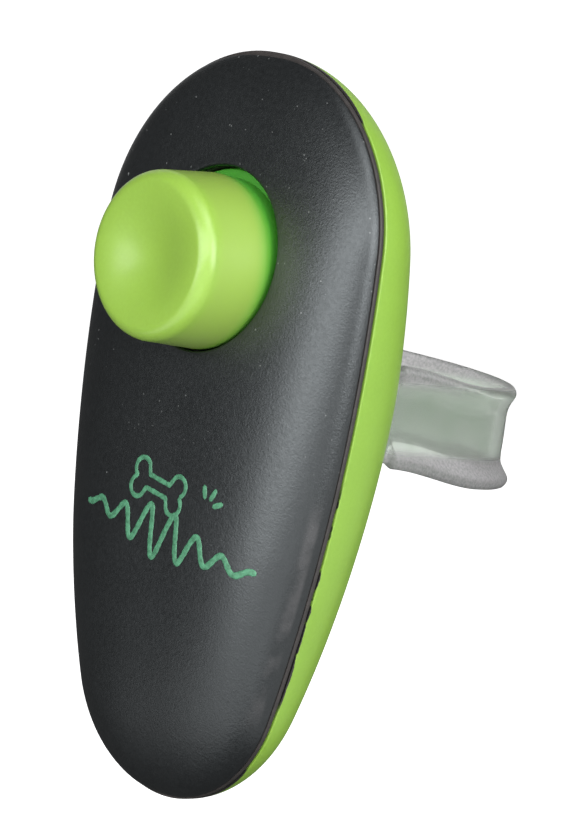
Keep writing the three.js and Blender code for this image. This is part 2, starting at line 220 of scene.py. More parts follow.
def ring_object(name, rings, closed=False, sharp=None):
    """Rings joined into a skin. Open ends are closed by a fan onto their middle."""
    rings = np.asarray(rings, float)
    rows, size = rings.shape[:2]
    points = rings.reshape(-1, 3)
    faces = ring_faces(rows, size, closed)
    if not closed:
        hubs = np.array([rings[0].mean(axis=0), rings[-1].mean(axis=0)])
        points = np.vstack([points, hubs])
        last = (rows - 1) * size
        for i in range(size):
            j = (i + 1) % size
            faces.append([j, i, rows * size])
            faces.append([last + i, last + j, rows * size + 1])
    return new_object(name, points, faces, sharp)


def turned_object(name, profile, centre, sides=96, sharp=35):
    """A solid turned about Y. The profile runs from axis to axis, as (radius, y) pairs, or as
    (radius, y, shift along Z) where a part of it stands off the axis."""
    profile = [(*point, 0.0)[:3] for point in profile]
    inner = np.array(profile[1:-1], float)
    angle = np.linspace(0, 2 * np.pi, sides, endpoint=False)
    rings = np.zeros((len(inner), sides, 3))
    rings[..., 0] = centre[0] + inner[:, :1] * np.sin(angle)
    rings[..., 1] = inner[:, 1:2]
    rings[..., 2] = centre[1] + inner[:, 2:] + inner[:, :1] * np.cos(angle)
    hubs = [(centre[0], y, centre[1] + shift) for _, y, shift in (profile[0], profile[-1])]
    points = np.vstack([rings.reshape(-1, 3), hubs])
    faces = ring_faces(len(inner), sides)
    last = (len(inner) - 1) * sides
    for i in range(sides):
        j = (i + 1) % sides
        faces.append([j, i, len(inner) * sides])
        faces.append([last + i, last + j, len(inner) * sides + 1])
    return new_object(name, points, faces, sharp)


def box_object(name, low, high):
    """A plain box, used only as a cutter or joined into a piece."""
    (x0, y0, z0), (x1, y1, z1) = low, high
    points = [(x, y, z) for z in (z0, z1) for y in (y0, y1) for x in (x0, x1)]
    faces = [[0, 2, 3, 1], [4, 5, 7, 6], [0, 1, 5, 4], [2, 6, 7, 3], [0, 4, 6, 2], [1, 3, 7, 5]]
    return new_object(name, points, faces)


def arc(centre, radius, start, end, steps):
    """Points of an arc as (a, b) pairs; angles in degrees from the first axis."""
    angle = np.radians(np.linspace(start, end, steps))
    return np.stack(
        [centre[0] + radius * np.cos(angle), centre[1] + radius * np.sin(angle)], axis=1
    ).tolist()


def rounded_rectangle(centre, half, corner, radius, steps):
    """Points (x, z) round a rectangle. Its corners turn about points that lie a corner's
    reach in from its sides."""
    outline = []
    for side_x, side_z, start in ((1, 1, 0), (-1, 1, 90), (-1, -1, 180), (1, -1, 270)):
        x = centre[0] + side_x * (half[0] - corner)
        z = centre[1] + side_z * (half[1] - corner)
        outline += arc((x, z), radius, start, start + 90, steps)
    return np.array(outline)


def weld(mesh):
    """Joins points that all but touch, and closes the hairline slits that are left."""
    welded = bmesh.new()
    welded.from_mesh(mesh)
    bmesh.ops.remove_doubles(welded, verts=welded.verts, dist=WELD * MM)
    bmesh.ops.holes_fill(welded, edges=[edge for edge in welded.edges if edge.is_boundary])
    welded.to_mesh(mesh)
    welded.free()


def combine(piece, tools, operation):
    """Joins tools to the piece, or cuts them out of it, and removes them."""
    for tool in tools:
        modifier = piece.modifiers.new("combine", "BOOLEAN")
        modifier.operation = operation
        modifier.solver = "EXACT"
        modifier.object = tool
        evaluated = piece.evaluated_get(bpy.context.evaluated_depsgraph_get())
        mesh = bpy.data.meshes.new_from_object(evaluated)
        weld(mesh)
        piece.modifiers.clear()
        piece.data = mesh
        bpy.data.objects.remove(tool)
    return piece


def keep_sharp(piece, angle):
    """Shades the piece smooth, but for edges sharper than an angle in degrees."""
    piece.data.shade_smooth()
    piece.data.set_sharp_from_angle(angle=math.radians(angle))


def place(piece, body, slot, material, *nodes):
    """Gives the piece its finish and its body, and hides the CAD nodes that it stands for."""
    piece.data.materials.clear()
    piece.data.materials.append(material)
    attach(piece, body)
    if nodes:
        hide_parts(*nodes)


# ------------------------------------------------------------------ case surface

WIDE_Z = LENGTH / 2 - WIDE_END_R
NARROW_Z = -LENGTH / 2 + NARROW_END_R
TO_WIDE = SIDE_R - WIDE_END_R
TO_NARROW = SIDE_R - NARROW_END_R
SIDE_Z = (TO_NARROW**2 - TO_WIDE**2 + WIDE_Z**2 - NARROW_Z**2) / (2 * (WIDE_Z - NARROW_Z))
SIDE_X = -math.sqrt(TO_WIDE**2 - (SIDE_Z - WIDE_Z) ** 2)


def half_width(z, inset=0.0):
    """Half the case's width at z, for a surface that lies inset below the outer one."""
    z = np.asarray(z, float)
    wide = WIDE_END_R - inset
    narrow = NARROW_END_R - inset
    top = np.sqrt(np.maximum(wide**2 - (z - WIDE_Z) ** 2, 0))
    low = np.sqrt(np.maximum(narrow**2 - (z - NARROW_Z) ** 2, 0))
    side = SIDE_X + np.sqrt((SIDE_R - inset) ** 2 - (z - SIDE_Z) ** 2)
    is_top = z > WIDE_Z + wide * (WIDE_Z - SIDE_Z) / TO_WIDE
    is_low = z < NARROW_Z + narrow * (NARROW_Z - SIDE_Z) / TO_NARROW
    return np.where(is_top, top, np.where(is_low, low, side))


def depth(half, x, z, inset=0.0):
    """Distance of one half's surface from the parting plane."""
    reach = LENGTH / 2 - inset
    offset = np.asarray(z, float) - half["crest"]
    along = np.abs(offset) / (reach - np.sign(offset) * half["crest"])
    crest = (half["height"] - inset) * np.sqrt(1 - np.minimum(along, 1) ** END_FULLNESS)
    power = half["fullness"]
    width = np.maximum(half_width(z, inset), 1e-6)
    across = np.minimum(np.abs(x) / width, 1)
    return crest * (1 - across**power) ** (1 / power)


def outline_points(count):
    """Points evenly spaced round the outline as (x, z), and their outward normals."""
    wide_turn = math.atan2(-SIDE_X, WIDE_Z - SIDE_Z)
    narrow_turn = math.atan2(-SIDE_X, NARROW_Z - SIDE_Z)
    lengths = np.array([
        WIDE_END_R * wide_turn,
        SIDE_R * (narrow_turn - wide_turn),
        NARROW_END_R * (math.pi - narrow_turn),
    ])
    stops = np.concatenate([[0], np.cumsum(lengths)])
    turns = np.array([0, wide_turn, narrow_turn, math.pi])
    along = np.linspace(0, 2 * stops[-1], count, endpoint=False)
    folded = np.where(along > stops[-1], 2 * stops[-1] - along, along)
    turn = np.interp(folded, stops, turns)
    side = np.where(along > stops[-1], -1.0, 1.0)
    normal = np.stack([np.sin(turn) * side, np.cos(turn)], axis=1)
    x = np.select(
        [turn < wide_turn, turn < narrow_turn],
        [WIDE_END_R * np.sin(turn), SIDE_X + SIDE_R * np.sin(turn)],
        NARROW_END_R * np.sin(turn),
    )
    z = np.select(
        [turn < wide_turn, turn < narrow_turn],
        [WIDE_Z + WIDE_END_R * np.cos(turn), SIDE_Z + SIDE_R * np.cos(turn)],
        NARROW_Z + NARROW_END_R * np.cos(turn),
    )
    return np.stack([x * side, z], axis=1), normal


EDGE, EDGE_NORMAL = outline_points(AROUND)


def ray_directions(hub_z):
    """Unit directions from a point on the case's axis to the points of the outline."""
    ray = EDGE - np.array([0.0, hub_z])
    return ray / np.linalg.norm(ray, axis=1)[:, None]


def hub_circle(hub_z, radius):
    """A circle round a point on the case's axis, one point for each point of the outline."""
    return np.array([0.0, hub_z]) + ray_directions(hub_z) * radius


def level(flat, y):
    """A ring of (x, z) points at a height y, which may differ from point to point."""
    return np.stack([flat[:, 0], np.broadcast_to(y, len(flat)), flat[:, 1]], axis=1)


def surface_run(half, inset, start, edge_y, count, crowd=1.6, rest=None):
    """Rings over one half of the case, from a ring of starting points out to where the
    surface is edge_y from the parting plane. They crowd towards that edge."""
    end = EDGE - EDGE_NORMAL * inset
    fine = 1 - (1 - np.linspace(0, 1, 1200)) ** 3
    share = 1 - (1 - np.linspace(0, 1, count)) ** crowd
    rings = np.zeros((count, len(end), 3))
    for i, (from_point, to_point) in enumerate(zip(start, end)):
        flat = from_point + (to_point - from_point) * fine[:, None]
        y = depth(half, flat[:, 0], flat[:, 1], inset)
        y[-1] = 0.0
        last = int(np.nonzero(y >= edge_y)[0][-1])
        part = (y[last] - edge_y) / max(y[last] - y[last + 1], 1e-9)
        stop = flat[last] + (flat[last + 1] - flat[last]) * part
        flat = np.vstack([flat[: last + 1], stop])
        y = np.append(y[: last + 1], edge_y)
        if rest is not None:
            near = np.maximum(REST_BLEND - np.abs(y - rest), 0) / REST_BLEND
            y = np.minimum(y, rest) - near**2 * REST_BLEND / 4
        steps = np.hypot(np.linalg.norm(np.diff(flat, axis=0), axis=1), np.diff(y))
        travelled = np.concatenate([[0], np.cumsum(steps)])
        at = share * travelled[-1]
        rings[:, i, 0] = np.interp(at, travelled, flat[:, 0])
        rings[:, i, 1] = half["side"] * np.interp(at, travelled, y)
        rings[:, i, 2] = np.interp(at, travelled, flat[:, 1])
    return rings


def inwards(ring, distance, y):
    """The ring moved in from the case's outline by a distance, at a height y."""
    flat = ring[:, [0, 2]] - EDGE_NORMAL * distance
    return level(flat, y)


def rounded_edge(brim, edge_y):
    """Rings that round a brim over onto a flat edge at a height edge_y."""
    side = math.copysign(1, edge_y)
    rings = []
    for turn in np.radians([22, 45, 67, 90]):
        distance = EDGE_ROUND * (1 - math.cos(turn))
        rings.append(inwards(brim, distance, edge_y + side * EDGE_ROUND * (1 - math.sin(turn))))
    return rings


# ------------------------------------------------------------------ pieces of the case


def skin_piece():
    """Soft skin: rolled into the button's opening, and round at its lower edge."""
    lip = 0.18
    opening = hub_circle(BORE_Z, SKIN_BORE_R)
    start = hub_circle(BORE_Z, SKIN_BORE_R + lip)
    lip_y = -depth(FRONT, start[:, 0], start[:, 1]) + lip
    rings = [level(opening, -depth(FRONT, opening[:, 0], opening[:, 1], SKIN_WALL))]
    for turn in np.radians(np.linspace(0, 75, 6)):
        flat = hub_circle(BORE_Z, SKIN_BORE_R + lip * (1 - math.cos(turn)))
        rings.append(level(flat, lip_y - lip * math.sin(turn)))
    rings.extend(surface_run(FRONT, 0.0, start, SKIN_EDGE + EDGE_ROUND, 84))
    rings.extend(rounded_edge(rings[-1], -SKIN_EDGE))
    under = surface_run(FRONT, SKIN_WALL, opening, SKIN_EDGE, 30)
    rings.extend(under[::-1][:-1])
    return ring_object("skin", rings, closed=True)


def front_shell_piece():
    """Rigid front half: guide ring, dome, the rim that shows under the skin, and the lip."""
    bore = hub_circle(BORE_Z, BORE_R)
    start = hub_circle(BORE_Z, SKIN_BORE_R)
    guide = hub_circle(BORE_Z, GUIDE_R)
    small = 0.1
    top = -depth(FRONT, start[:, 0], start[:, 1], SHELL_INSET)
    rings = [level(bore, GUIDE_END), level(bore, top + small)]
    rings.extend(surface_run(FRONT, SHELL_INSET, start, RIM_FRONT, 34))
    outer = level(EDGE, 0.0)
    back = PART_GAP / 2
    rings.append(inwards(outer, small, -RIM_FRONT))
    rings.append(inwards(outer, small * 0.3, -RIM_FRONT + small * 0.3))
    rings.append(inwards(outer, 0.0, -RIM_FRONT + small))
    rings.append(inwards(outer, 0.0, -back - small))
    rings.append(inwards(outer, small * 0.3, -back - small * 0.3))
    rings.append(inwards(outer, small, -back))
    rings.append(inwards(outer, LIP_OUTER, -back))
    rings.append(inwards(outer, LIP_OUTER, LIP_HEIGHT))
    rings.append(inwards(outer, LIP_OUTER + LIP_WALL, LIP_HEIGHT))
    rings.append(inwards(outer, LIP_OUTER + LIP_WALL, -RIM_FRONT))
    inside = surface_run(FRONT, SHELL_INSET + FRONT_WALL, guide, RIM_FRONT + 0.2, 26)
    rings.extend(inside[::-1])
    rings.append(level(guide, GUIDE_END))
    piece = ring_object("front_case", rings, closed=True, sharp=40)
    combine(piece, [screw_post(x, z) for x, z in CASE_SCREWS.values()], "UNION")
    keep_sharp(piece, 40)
    return piece


def screw_post(x, z):
    """A post of the front shell, with a blind hole that a closing screw bites into."""
    post_r, hole_r, top, hole_end = 2.05, 1.15, 2.2, -0.9
    buried = -float(depth(FRONT, x, z, SHELL_INSET)) + 0.5
    profile = [(0, buried), (post_r, buried), (post_r, top - 0.1), (post_r - 0.1, top),
               (hole_r + 0.15, top), (hole_r, top - 0.2), (hole_r, hole_end), (0, hole_end)]
    return turned_object("post", profile, (x, z), 40)


def rear_shell_piece():
    """Green back half with its finger rest, screw wells, band slots and tongue seat."""
    start = hub_circle(BAND_Z, 2.0)
    seam = PART_GAP / 2
    rings = list(surface_run(BACK, 0.0, start, seam + EDGE_ROUND, 110, 1.5, REST_Y))
    rings.extend(rounded_edge(rings[-1], seam))
    rings.extend(surface_run(BACK, BACK_WALL, start, seam, 40)[::-1])
    piece = ring_object("rear_case", rings, sharp=40)
    inside = [screw_well(x, z) for x, z in CASE_SCREWS.values()] + [tongue_seat()]
    combine(inside[0], inside[1:], "UNION")
    within = BACK_WALL / 2
    core = ring_object("core", surface_run(BACK, within, start, seam, 60, 1.5, REST_Y - within))
    combine(core, inside[:1], "INTERSECT")
    combine(piece, [core], "UNION")
    cutters = [well_bore(x, z) for x, z in CASE_SCREWS.values()]
    for x in (-CLAMP_HOLE_X, CLAMP_HOLE_X):
        end = LEAF_BACK + 4.6
        hole = [(0, 0), (HOLE_R, 0), (HOLE_R, end), (0, end)]
        cutters.append(turned_object("hole", hole, (x, CLAMP_Z), 32))
    cutters += [slot_cutter(side) for side in (-1, 1)]
    combine(piece, cutters, "DIFFERENCE")
    keep_sharp(piece, 38)
    return piece


def screw_well(x, z):
    """The solid tube round a closing screw. It is made too long, to be trimmed to the dome."""
    tube_r, bevel = WELL_R + 0.9, 0.15
    top = float(depth(BACK, x, z)) + 1
    profile = [(0, WELL_FLOOR), (tube_r - bevel, WELL_FLOOR), (tube_r, WELL_FLOOR + bevel),
               (tube_r, top), (0, top)]
    return turned_object("well", profile, (x, z), 48)


def well_bore(x, z):
    """Cutter for a well: the screw's hole, its seat, and a mouth rounded into the dome."""
    mouth = 0.35
    skin_y = float(depth(BACK, x, z))
    profile = [(0, WELL_FLOOR - 1), (HOLE_R, WELL_FLOOR - 1), (HOLE_R, WELL_SEAT),
               (WELL_R, WELL_SEAT), (WELL_R, skin_y - mouth)]
    profile += [(WELL_R + mouth * (1 - math.cos(t)), skin_y - mouth + mouth * math.sin(t))
                for t in np.radians([20, 40, 60, 80])]
    profile += [(WELL_R + mouth * 2.2, skin_y + 1.2), (0, skin_y + 1.2)]
    return turned_object("bore", profile, (x, z), 64)


def tongue_seat():
    """The block of the back half that the tongue is clamped on."""
    low = (clamp_low[0], LEAF_BACK, CLAMP_Z - 3)
    high = (clamp_high[0], 7.6, CLAMP_Z + 3)
    return box_object("seat", low, high)


def slot_cutter(side):
    """A slot with round ends for one leg of the band."""
    gap, corner = 0.3, 0.5
    centre = (side * (BAND_R - BAND_WALL / 2), BAND_Z)
    half = (BAND_WALL / 2 + gap, STRAP_HALF + gap)
    flat = rounded_rectangle(centre, half, corner, corner, 6)
    return ring_object("slot", [level(flat, y) for y in (BAND_TOE_Y, 14.0)], sharp=40)


def button_piece():
    """Hollow push button: a dished cap with a soft rim, a neck, a collar, a flange and a stem."""
    cap = []
    for part in np.linspace(0, 1, 40):
        fall = DISH_DEPTH * (1 + math.cos(math.pi * part)) / 2
        cap.append((RIM["r"] * part, fall - BUTTON_TOP))
    for turn in np.radians(np.linspace(0, 90, 20))[1:]:
        drop = RIM["drop"] * (1 - math.cos(turn))
        cap.append((RIM["r"] + RIM["across"] * math.sin(turn), drop - BUTTON_TOP))
    side_r, side_y = cap[-1]
    for part in np.linspace(0, 1, 14)[1:]:
        cap.append((side_r + (BUTTON_R - side_r) * part, side_y + (CAP_FOOT - side_y) * part))
    for part in np.linspace(0, 1, 14)[1:]:
        taper = float(smoothstep(part, 0, 1))
        cap.append((BUTTON_R + (NECK["r"] - BUTTON_R) * taper,
                    CAP_FOOT + (NECK["front"] - CAP_FOOT) * part))
    edge = 0.1
    cap.append((NECK["r"], COLLAR_TOP - edge))
    collar = [(NECK["r"] + edge, COLLAR_TOP), (COLLAR_R - edge, COLLAR_TOP)]
    for turn in np.radians([30, 60, 90]):
        collar.append((COLLAR_R - edge * (1 - math.sin(turn)),
                       COLLAR_TOP + edge * (1 - math.cos(turn))))
    collar.append((COLLAR_R, FLANGE_TOP - edge / 2))
    fillet = 0.3
    inside = [(COLLAR_R + edge / 2, FLANGE_TOP), (FLANGE_R - edge, FLANGE_TOP),
              (FLANGE_R, FLANGE_TOP + edge), (FLANGE_R, FLANGE_END - edge),
              (FLANGE_R - edge, FLANGE_END), (CAVITY_R + edge, FLANGE_END),
              (CAVITY_R, FLANGE_END - edge), (CAVITY_R, CAVITY_TOP + fillet),
              (CAVITY_R - fillet, CAVITY_TOP), (STEM_R + fillet, CAVITY_TOP),
              (STEM_R, CAVITY_TOP + fillet), (STEM_R, STEM_END - 0.6),
              (STEM_R - 0.2, STEM_END - 0.2), (STEM_R - 0.6, STEM_END), (0, STEM_END)]
    profile = [(r, y, -CAP_DROP) for r, y in cap]
    profile += [(r, y, COLLAR_RISE) for r, y in collar] + inside
    return turned_object("push_button", profile, (0.0, BUTTON_Z), 160, 32)


# ------------------------------------------------------------------ finger band

# Section of the band: out from the waist and along Z, then the same for the plain strap.
BAND_SECTION = np.array([
    [0, -1.9, 0, -1.9],
    [0, 0, 0, 0],
    [0, 1.9, 0, 1.9],
    [0.2, 2.7, 0, 2.8],
    [0.55, 3.5, 0, STRAP_HALF],
    [0.3, 4.05, -0.15, STRAP_HALF],
    [-0.2, 4.1, -0.45, STRAP_HALF],
    [-0.55, 3.5, -0.75, STRAP_HALF],
    [-BAND_WALL, 2.2, -BAND_WALL, 2.2],
    [-BAND_WALL, 0, -BAND_WALL, 0],
    [-BAND_WALL, -2.2, -BAND_WALL, -2.2],
    [-0.4, -3.5, -0.75, -STRAP_HALF],
    [-0.1, -4.1, -0.45, -STRAP_HALF],
    [0.5, -4.05, -0.15, -STRAP_HALF],
    [0.8, -3.4, 0, -STRAP_HALF],
    [0.3, -2.6, 0, -2.8],
])


def smooth_loop(points, per_span):
    """A closed Catmull-Rom curve through the points."""
    count = len(points)
    out = []
    for i in range(count):
        p0, p1, p2, p3 = (points[(i + k - 1) % count] for k in range(4))
        for t in np.linspace(0, 1, per_span, endpoint=False):
            out.append(
                0.5 * ((2 * p1) + (p2 - p0) * t + (2 * p0 - 5 * p1 + 4 * p2 - p3) * t**2
                       + (3 * p1 - p0 - 3 * p2 + p3) * t**3)
            )
    return np.array(out)


def band_shift(x, y):
    """How far the band's middle is moved along Z: a slight droop, and a twist at its far end."""
    droop = math.tan(math.radians(BAND_DROOP)) * np.maximum(y - TWIST_START_Y, 0)
    twist = math.tan(math.radians(BAND_TWIST)) * smoothstep(y, TWIST_START_Y, TWIST_LENGTH) * x
    return -droop - twist


def band_piece():
    """Clear band: two flat straps through the case, a flared bow, and a toe on each strap."""
    section = smooth_loop(BAND_SECTION, 4)
    leg_y = np.concatenate([[BAND_TOE_Y, 5.5, 7.0], np.linspace(8.1, 8.9, 12),
                            np.linspace(9.3, 17.0, 16)])
    stops = [(1.0, 0.0, y) for y in leg_y]
    for turn in np.linspace(0, math.pi, 97):
        stops.append((math.cos(turn), math.sin(turn), BAND_CENTRE_Y))
    stops += [(-1.0, 0.0, y) for y in leg_y[::-1]]
    rings = []
    for dx, dy, y in stops:
        flare = float(smoothstep(y, FLARE_START_Y, FLARE_LENGTH))
        out = BAND_R + section[:, 2] * (1 - flare) + section[:, 0] * flare
        rise = section[:, 3] * (1 - flare) + section[:, 1] * flare
        px = out * dx
        py = y + out * dy
        rings.append(np.stack([px, py, BAND_Z + rise + band_shift(px, py)], axis=1))
    piece = ring_object("band", rings)
    toes = []
    half_toe = np.array([1.1, 0.6, 4.5])
    for side in (-1, 1):
        middle = np.array([side * (BAND_R - BAND_WALL / 2 - 0.3), BAND_TOE_Y, BAND_Z])
        toes.append(box_object("toe", middle - half_toe, middle + half_toe))
    combine(piece, toes, "UNION")
    keep_sharp(piece, 50)
    return piece


# ------------------------------------------------------------------ click mechanism


def clamp_holes(start, end):
    """Cutters for the two screw holes of the tongue's clamp, between two heights."""
    hole = [(0, start), (HOLE_R, start), (HOLE_R, end), (0, end)]
    return [turned_object("hole", hole, (x, CLAMP_Z), 40) for x in (-CLAMP_HOLE_X, CLAMP_HOLE_X)]


def leaf_piece():
    """Spring-steel tongue: a thin strip with round corners, two holes and a dimple."""
    half = (leaf_high[0] - leaf_low[0]) / 2
    low = leaf_low[2] - ORIGIN[2]
    high = leaf_high[2] - ORIGIN[2]
    xs = np.linspace(-half, half, 37)
    zs = np.linspace(low, high, 123)
    grid_x, grid_z = np.meshgrid(xs, zs)
    corner = 2.0
    reach_z = np.minimum(grid_z - low, high - grid_z)
    pull = np.sqrt(np.maximum(corner**2 - np.maximum(corner - reach_z, 0) ** 2, 0))
    grid_x = grid_x * (half - corner + pull) / half
    dimple_r, dimple_rise = 3.2, 0.7
    off = np.hypot(grid_x, grid_z - BUTTON_Z) / dimple_r
    rise = dimple_rise * np.cos(np.minimum(off, 1) * math.pi / 2) ** 2
    front = np.stack([grid_x, LEAF_FRONT - rise, grid_z], axis=-1)
    back = front + np.array([0, LEAF_THICK, 0])
    rings = []
    for row in range(len(zs)):
        rings.append(np.vstack([front[row], back[row][::-1]]))
    piece = ring_object("click_tongue", rings, sharp=40)
    combine(piece, clamp_holes(0, 4), "DIFFERENCE")
    keep_sharp(piece, 40)
    return piece


def clamp_piece():
    """Clamp bar with rounded corners and two screw holes."""
    front, back = clamp_low[1] - ORIGIN[1], clamp_high[1] - ORIGIN[1]
    half = (clamp_high - clamp_low)[[0, 2]] / 2
    corner = 0.9
    edge = ((0.12, 0), (0.04, 0.04), (0, 0.12))
    rings = []
    for inset, y in [(i, front + up) for i, up in edge] + [(i, back - up) for i, up in edge[::-1]]:
        flat = rounded_rectangle((0, CLAMP_Z), half, corner, corner - inset, 8)
        rings.append(level(flat, y))
    piece = ring_object("tongue_clamp", rings, sharp=40)
    combine(piece, clamp_holes(front - 1, back + 1), "DIFFERENCE")
    keep_sharp(piece, 40)
    return piece


def screw_rows(length, angle):
    """Rows of (radii, y) for a screw that points along +Y: the pan head, then the thread."""
    pitch = 0.62
    profile = [(HEAD_R * 0.02, -HEAD_HIGH), (HEAD_R * 0.35, -HEAD_HIGH * 0.98)]
    profile += [(HEAD_R * (0.35 + 0.65 * math.sin(t)), -HEAD_HIGH * (0.35 + 0.63 * math.cos(t)))
                for t in np.radians([15, 30, 45, 60, 75, 90])]
    profile += [(HEAD_R, -0.08), (HEAD_R - 0.08, 0.0), (CORE_R + 0.1, 0.0)]
    rows = [(np.full(len(angle), r), y) for r, y in profile]
    for y in np.arange(0.06, length, 0.05):
        taper = min(1.0, (length - y) / 1.1)
        phase = (y / pitch - angle / (2 * math.pi)) % 1.0
        tooth = np.clip(1 - np.abs(phase - 0.5) * 3.2, 0, 1) * min(1.0, y / 0.3)
        rows.append(((CORE_R + (THREAD_R - CORE_R) * tooth) * (0.25 + 0.75 * taper), y))
    return rows


def screw_piece(name, x, z, head_y, point, length):
    """Pan-head self-tapping screw. point is +1 or -1, the way its tip points along Y."""
    angle = np.linspace(0, 2 * np.pi, 48, endpoint=False)
    rings = []
    for radius, y in screw_rows(length, angle):
        ring = np.stack([x + radius * np.sin(angle), z + radius * np.cos(angle)], axis=1)
        rings.append(level(ring, head_y + point * y))
    piece = ring_object(name, rings, sharp=40)
    arm, reach, deep = 0.24, HEAD_R * 0.55, HEAD_HIGH * 0.62
    above, bottom = head_y - point * (HEAD_HIGH + 0.5), head_y - point * (HEAD_HIGH - deep)
    tools = []
    for wide_x, wide_z in ((arm, reach), (reach, arm)):
        tools.append(box_object("recess", (x - wide_x, min(above, bottom), z - wide_z),
                                (x + wide_x, max(above, bottom), z + wide_z)))
    combine(piece, tools, "DIFFERENCE")
    keep_sharp(piece, 40)
    return piece


# ------------------------------------------------------------------ printed mark


def ribbon(path, width):
    """One stroke of the printed mark: a thin closed ribbon that lies on the front skin."""
    lift, clear, buried, steps = 0.035, 0.004, 0.03, 8
    path = np.asarray(path, float)
    steps_along = np.linalg.norm(np.diff(path, axis=0), axis=1)
    travelled = np.concatenate([[0], np.cumsum(steps_along)])
    count = max(int(travelled[-1] / 0.12), 8)
    at = np.linspace(0, travelled[-1], count)
    line = np.stack([np.interp(at, travelled, path[:, k]) for k in (0, 1)], axis=1)
    along = np.gradient(line, axis=0)
    along /= np.linalg.norm(along, axis=1)[:, None]
    across = np.stack([-along[:, 1], along[:, 0]], axis=1)
    wobble = 1 + 0.07 * np.sin(at * 5.1 + path[0, 0]) + 0.05 * np.sin(at * 11.7 + path[0, 1])
    to_end = np.minimum(at, travelled[-1] - at) / (width / 2)
    round_end = np.sqrt(np.clip(1 - (1 - np.minimum(to_end, 1)) ** 2, 0.02, 1))
    half = width / 2 * wobble * round_end
    over = np.linspace(-1, 1, steps)
    places = np.concatenate([over, over[::-1] * 0.98])
    rise = np.concatenate([lift * np.sqrt(np.maximum(1 - over**2, 0)) + clear,
                           np.full(steps, -buried)])
    flat = line[:, None, :] + across[:, None, :] * half[:, None, None] * places[None, :, None]
    y = -depth(FRONT, flat[..., 0], flat[..., 1]) - rise
    return np.stack([flat[..., 0], y, flat[..., 1]], axis=-1)


def bone_stroke(half, bulge):
    """The outline of a bone, drawn in one line round the origin."""
    waist = bulge * 0.72
    line = []
    for cx, cz, start, end in ((half, bulge, -60, 140), (-half, bulge, 40, 240),
                               (-half, -bulge, 120, 320), (half, -bulge, 220, 420)):
        line += arc((cx, cz), bulge * 1.1, start, end, 16)
        if (cx > 0) == (cz > 0):
            side = 1 if cz > 0 else -1
            line += [(side * t * half, side * waist) for t in (0.55, 0.2, -0.2, -0.55)]
    line.append(line[0])
    return np.array(line)


def wave_stroke(length, height):
    """A sound wave that swells and dies away, drawn in one line from left to right."""
    at = np.linspace(-0.5, 0.5, 240)
    swell = 0.16 + 0.84 * np.cos(math.pi * at) ** 2 * (0.78 + 0.22 * np.cos(9.0 * at + 0.6))
    return np.stack([at * length, height * swell * np.sin(13.5 * math.pi * at)], axis=1)


def mark_strokes():
    """A sound wave, a bone above it and three short rays: (line, place, lean, width) each."""
    strokes = [(wave_stroke(19.8, 2.1), (0.7, -8.9), -10, 0.52)]
    strokes.append((bone_stroke(2.2, 0.76), (-0.7, -5.2), -12, 0.4))
    for angle in (20, 62, 104):
        direction = np.array([math.cos(math.radians(angle)), math.sin(math.radians(angle))])
        line = np.linspace(0.75, 1.9, 10)[:, None] * direction
        strokes.append((line, (4.9, -6.1), 0, 0.44))
    return strokes


def mark_piece():
    """The printed mark: every stroke is a ribbon on the front skin."""
    points, faces = [], []
    for line, middle, lean, width in mark_strokes():
        turn = math.radians(lean)
        rotate = np.array([[math.cos(turn), math.sin(turn)], [-math.sin(turn), math.cos(turn)]])
        rings = ribbon(line @ rotate + np.array(middle), width)
        rows, size = rings.shape[:2]
        base = len(points)
        points += rings.reshape(-1, 3).tolist()
        faces += [[base + i for i in face] for face in ring_faces(rows, size)]
        faces.append([base + i for i in range(size)][::-1])
        faces.append([base + (rows - 1) * size + i for i in range(size)])
    return new_object("front_mark", points, faces)


# ------------------------------------------------------------------ materials


